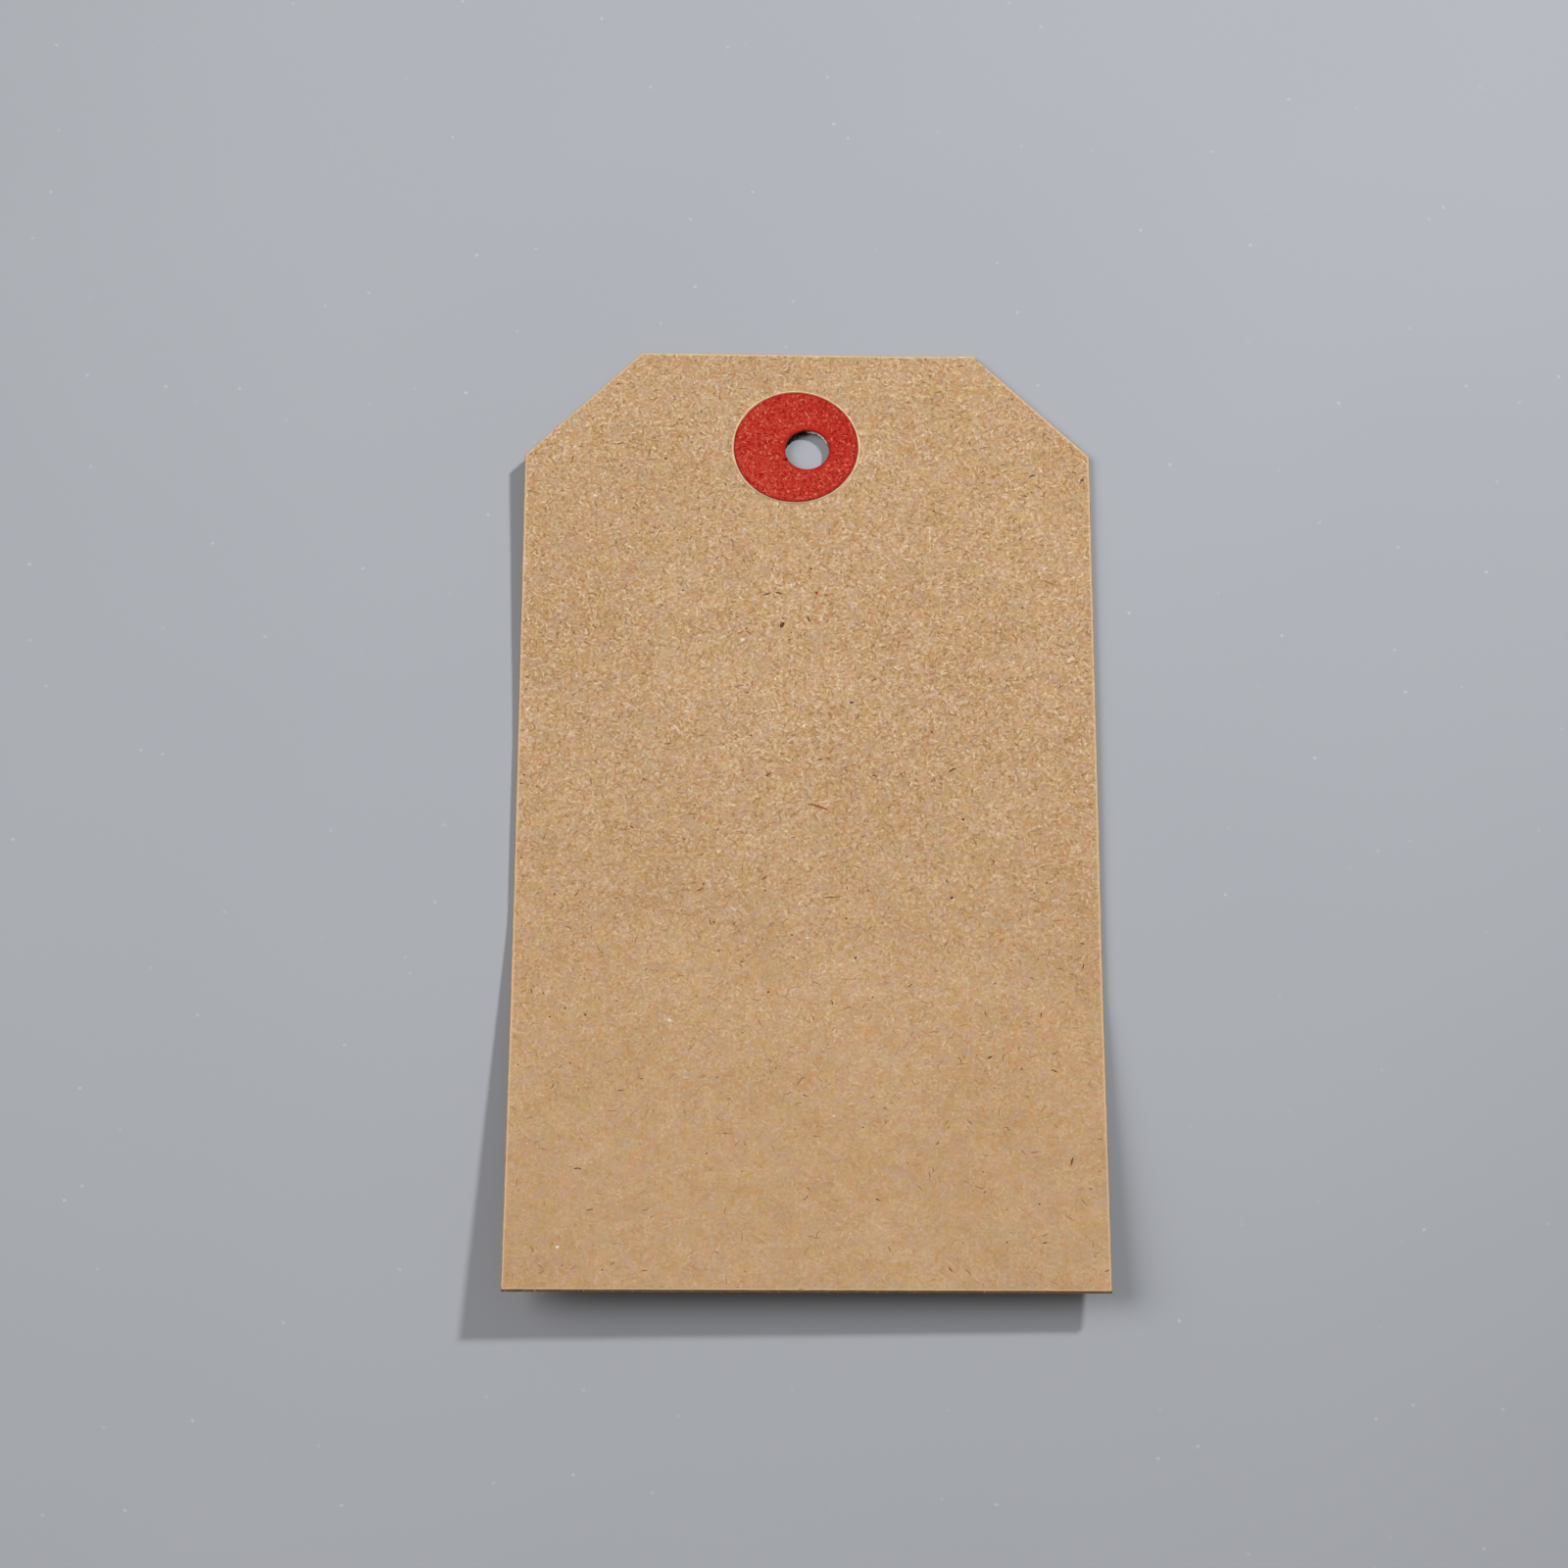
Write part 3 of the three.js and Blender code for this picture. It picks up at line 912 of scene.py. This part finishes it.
# %% [markdown]
# The patch was pressed down wet, and a thin bead of gum was squeezed out round its rim. It dried pale,
# and it is a little wider and higher in some places than in others. It is a closed curve with a round
# section, laid on the board right at the patch's rim. How sunk and how uneven it is are shares of its
# radius.

# %% The bead of gum round the patch
BEAD_POINTS = 180
BEAD_RADIUS = 0.12 * MM
BEAD_OFFSET = 0.1 * MM
BEAD_SUNK = 0.1
BEAD_UNEVENNESS = 0.35
BEAD_LUMPINESS = 6


def bead_of_gum():
    """A ring of gum on the board at the patch's rim, of uneven thickness."""
    ring = []
    for point in range(BEAD_POINTS + 1):
        turn = 2 * math.pi * (point % BEAD_POINTS) / BEAD_POINTS
        outward = Vector((math.cos(turn), math.sin(turn), 0))
        spot = patch_middle + outward * (patch_radius + BEAD_OFFSET)
        ground = on_sheet(board_surface, spot.x, spot.y, 1)
        radius = BEAD_RADIUS * (1 + BEAD_UNEVENNESS * noise.noise(outward * BEAD_LUMPINESS))
        ring.append((ground - BEAD_SUNK * radius * UP, radius))
    return strands_to_bmesh([ring])


gum_bead_finish = loose_fibre("squeezed_out_gum", [(0.35, "e2c496"), (0.65, "f4dcb2")])
finish_piece("gum_bead", bead_of_gum(), [gum_bead_finish], "dried_gum")

# %% [markdown]
# The punch has torn the board. There are pale fibres along the right of the hole, thicker near-black ones
# at its upper left, which are painted shade along the hole's dark far wall, and one bleached crumb that
# still hangs between them.
# The shares are how far along a strand its points are. The root is how far a fibre starts inside the
# wall, and the lean is how far it comes out of it, in radii.

# %% Torn fibres in the hole
SHARES_ROUND_RIM = (-0.15, 0.1, 0.35, 0.6, 0.85, 1.1)
TORN_ROOT = 0.6
TORN_LEAN = 2.2
TORN_LENGTHS = (0.25, 0.6)


def torn_strand(clock, length, radius, depth):
    """A fibre along the rim of the hole, which starts in its wall and leans a little into the hole."""
    strand = []
    for share in SHARES_ROUND_RIM:
        angle = clock + share * length / hole_radius
        inset = radius * (TORN_LEAN * math.sin(math.pi * min(max(share, 0), 1)) - TORN_ROOT)
        outward = Vector((math.cos(angle), math.sin(angle), 0))
        spot = hole + outward * (hole_radius - inset)
        spot.z = max(hole.z + relief(spot) - depth, radius)
        strand.append((spot, radius))
    return strand


def torn_fibres(count, clocks, radii, depths):
    """Torn fibres along a stretch of the hole's wall, between two angles in degrees."""
    return [
        torn_strand(
            math.radians(random.uniform(*clocks)),
            random.uniform(*TORN_LENGTHS) * MM,
            random.uniform(*radii) * MM,
            random.uniform(*depths) * MM,
        )
        for _ in range(count)
    ]


pale_fibres = torn_fibres(16, clocks=(15, 75), radii=(0.022, 0.04), depths=(0.11, 0.30))
hanging_crumb = torn_strand(math.radians(121), length=0.16 * MM, radius=0.07 * MM, depth=0.3 * MM)
pale_fibres.append(hanging_crumb)
# These near-black fibres are painted shade that thickens the dark band along the upper left of the hole.
painted_shade_fibres = torn_fibres(20, clocks=(88, 150), radii=(0.05, 0.09), depths=(0.25, 0.45))
painted_shade_pulp = loose_fibre("painted_shade_pulp", [(0.35, "140d08"), (0.65, "33241a")])
print("torn fibres in the hole:", len(pale_fibres), "pale,", len(painted_shade_fibres), "shaded")

# %% [markdown]
# The die leaves a little fuzz on the cut edges. Each strand of it starts inside the cut, comes out square
# to it and bends along the edge. The fall, the bend and the taper say how much a strand falls back, bends
# aside and thins out towards its tip, and the rise how much it may climb or sink. Lengths and radii are
# in mm. The fuzz and the torn fibres then become pieces.

# %% Fuzz on the cut edges
LOWEST = 0.03 * MM
SHARES_OF_FUZZ = (-0.4, 0, 0.3, 0.65, 1)
FUZZ_FALL = 0.35
FUZZ_BEND = 0.8
FUZZ_TAPER = 0.5
FUZZ_RISE = 0.3
FUZZ_LENGTHS = (0.08, 0.28)
FUZZ_RADII = (0.012, 0.022)


def fuzz_strand(place, outward, length, radius):
    """A fibre that comes out of a cut and bends aside."""
    sideways = Vector((-outward.y, outward.x, 0)) * random.uniform(-1, 1)
    rise = UP * random.uniform(-FUZZ_RISE, FUZZ_RISE)
    strand = []
    for share in SHARES_OF_FUZZ:
        reach = max(share, 0)
        out = outward * length * (share - FUZZ_FALL * reach * reach)
        aside = (sideways + rise) * length * FUZZ_BEND * reach * reach
        spot = place + out + aside
        spot.z = max(spot.z, LOWEST)
        strand.append((spot, radius * (1 - FUZZ_TAPER * reach)))
    return strand


def edge_fuzz(count):
    """Fuzz at so many places of the board's cut outline."""
    mesh = board.data
    cuts = [face for face in mesh.polygons if face.material_index == WALL]
    strands = []
    for cut in random.choices(cuts, weights=[face.area for face in cuts], k=count):
        outward = Vector((cut.normal.x, cut.normal.y, 0)).normalized()
        length = random.uniform(*FUZZ_LENGTHS) * MM
        strands.append(fuzz_strand(cut.center, outward, length, random.uniform(*FUZZ_RADII) * MM))
    return strands


fuzz = edge_fuzz(count=420)
finish_piece("edge_fuzz", strands_to_bmesh(fuzz), [cream_fibre], "kraft_board")
finish_piece("torn_fibres", strands_to_bmesh(pale_fibres), [bleached_crumb], "kraft_board")
finish_piece("painted_shade_fibres", strands_to_bmesh(painted_shade_fibres), [painted_shade_pulp], "kraft_board")

# %% [markdown]
# The table is a plain pale sheet, large enough to reach past every view. It isn't part of the tag. A few
# bright grains of dust lie on it, drawn with the felt's strokes, far apart and nearly as wide as long.

# %% The table
TABLE_SIZE = 6.0
DUST_STRENGTH = 0.35


def table_top():
    """A matt, pale blue-grey sheet, a little uneven, with a few bright grains of dust on it."""
    material, tree, place = start_material("table_top")
    cloud = mottle(tree, place, seed=31, span=60)
    colour = toned(tree, cloud, [(0.3, "a8acb2"), (0.7, "abafb5")])
    speck = fibre_layer(tree, place, seed=33, spacing=9, width=0.35, length=0.4)
    share = add_node(tree, "ShaderNodeMath", {0: speck, 1: DUST_STRENGTH}, operation="MULTIPLY").outputs[0]
    mix = {0: share, 6: colour, 7: linear("dfe1e4")}
    colour = add_node(tree, "ShaderNodeMix", mix, data_type="RGBA").outputs[2]
    grain = mottle(tree, place, seed=32, span=0.3)
    finish_material(tree, colour, grain, relief=0.004, roughness=0.8)
    return material


table_shape = bmesh.new()
bmesh.ops.create_grid(table_shape, x_segments=1, y_segments=1, size=TABLE_SIZE / 2)
table_mesh = bpy.data.meshes.new("table")
table_shape.to_mesh(table_mesh)
table_shape.free()
table_mesh.materials.append(table_top())
table = bpy.data.objects.new("table", table_mesh)
bpy.context.scene.collection.objects.link(table)
print("table side in m:", TABLE_SIZE)

# %% [markdown]
# One soft lamp stands to the upper right and lights the tag at about 37 degrees, low enough for the felt
# to show and for the lifted ends to throw their shadow down and to the left. A wider lamp to the left
# takes the edge off that shadow, a little warmer than white as the light in the photo's shadows is, and
# an even sky does the rest. A share is the light that each gives a level surface. Together they make one,
# so that a colour renders as it is written. The beam of the soft lamp is a cone that fades from its middle
# to its rim, and the near side of the table, at the foot of the tag, lies towards its rim. At the tag 0.80
# of the beam's strength is left, so the lamp is made that much stronger.

# %% Light
LAMP_DIRECTION = Vector((1.04, 0.85, 1.0)).normalized()
LAMP_SHARE = 0.475
LAMP_DISTANCE = 1.6
LAMP_WIDTH = math.radians(6.5)
BEAM_MIDDLE = Vector((0.037, 0.100, 0))
BEAM_RADIUS = 0.232
BEAM_LEFT_AT_TAG = 0.80
FILL_DIRECTION = Vector((-1.25, 0.2, 1.0)).normalized()
FILL_SHARE = 0.36
FILL_WIDTH = math.radians(45)
FILL_TINT = (1.03, 0.99, 0.99)
SKY_SHARE = 0.165


def aim_lamp(name, lamp, direction, target):
    """Puts a lamp into the scene, turned to its target from a direction."""
    placed = bpy.data.objects.new(name, lamp)
    placed.location = target + direction * LAMP_DISTANCE
    placed.rotation_euler = direction.to_track_quat("Z", "Y").to_euler()
    bpy.context.scene.collection.objects.link(placed)
    print(name, "energy", round(lamp.energy, 3))


soft_lamp = bpy.data.lights.new("soft_lamp", "SPOT")
soft_lamp.energy = (2 * math.pi * LAMP_DISTANCE) ** 2 * LAMP_SHARE / LAMP_DIRECTION.z / BEAM_LEFT_AT_TAG
soft_lamp.shadow_soft_size = LAMP_DISTANCE * math.tan(LAMP_WIDTH / 2)
soft_lamp.spot_size = 2 * math.atan(BEAM_RADIUS / LAMP_DISTANCE)
soft_lamp.spot_blend = 1.0
aim_lamp("soft_lamp", soft_lamp, LAMP_DIRECTION, BEAM_MIDDLE)

fill_lamp = bpy.data.lights.new("fill_lamp", "SUN")
fill_lamp.energy = math.pi * FILL_SHARE / FILL_DIRECTION.z
fill_lamp.angle = FILL_WIDTH
fill_lamp.color = FILL_TINT
aim_lamp("fill_lamp", fill_lamp, FILL_DIRECTION, Vector())

world = bpy.data.worlds.new("studio")
bpy.context.scene.world = world
world.use_nodes = True
sky = world.node_tree
sky.nodes.clear()
rays = add_node(sky, "ShaderNodeLightPath").outputs
straight = {0: rays["Is Camera Ray"], 1: rays["Is Glossy Ray"]}
mirrored = add_node(sky, "ShaderNodeMath", straight, operation="MAXIMUM")
through = {0: mirrored.outputs[0], 1: rays["Is Transmission Ray"]}
seen = add_node(sky, "ShaderNodeMath", through, operation="MAXIMUM")
lit = add_node(sky, "ShaderNodeBackground", {"Color": (1, 1, 1, 1), "Strength": SKY_SHARE})
backdrop = add_node(sky, "ShaderNodeBackground", {"Color": linear("b2b4ba")})
mixed = {0: seen.outputs[0], 1: lit.outputs[0], 2: backdrop.outputs[0]}
add_node(sky, "ShaderNodeOutputWorld", {0: add_node(sky, "ShaderNodeMixShader", mixed).outputs[0]})

# %% [markdown]
# The camera looks down at about 64 degrees, with a long lens from under half a metre. Its place, its
# lens and its small roll were found by laying the tag's corners, its patch and its hole over the photo.
# The lens and the sensor are in mm, and the range that the camera sees is in metres.

# %% Camera
CAMERA_ELEVATION = math.radians(64.0)
CAMERA_TURN = math.radians(1.41)
CAMERA_ROLL = math.radians(1.413)
CAMERA_LENS = 121.97
CAMERA_DISTANCE = 457.7 * MM
LOOK_AT = Vector((-1.975, 2.592, 0)) * MM
SENSOR_WIDTH = 36
SEEN_RANGE = (0.01, 20)

camera_data = bpy.data.cameras.new("camera")
camera_data.lens = CAMERA_LENS
camera_data.sensor_width = SENSOR_WIDTH
camera_data.clip_start, camera_data.clip_end = SEEN_RANGE
turned = Matrix.Rotation(CAMERA_TURN, 4, "Z")
tipped = Matrix.Rotation(math.pi / 2 - CAMERA_ELEVATION, 4, "X")
rolled = Matrix.Rotation(-CAMERA_ROLL, 4, "Z")
looking = turned @ tipped @ rolled
camera = bpy.data.objects.new("camera", camera_data)
camera.matrix_world = Matrix.Translation(LOOK_AT + looking.col[2].to_3d() * CAMERA_DISTANCE) @ looking
bpy.context.scene.collection.objects.link(camera)
bpy.context.scene.camera = camera
bpy.context.scene.view_settings.view_transform = "Standard"
print("camera at", [round(side, 4) for side in camera.location])
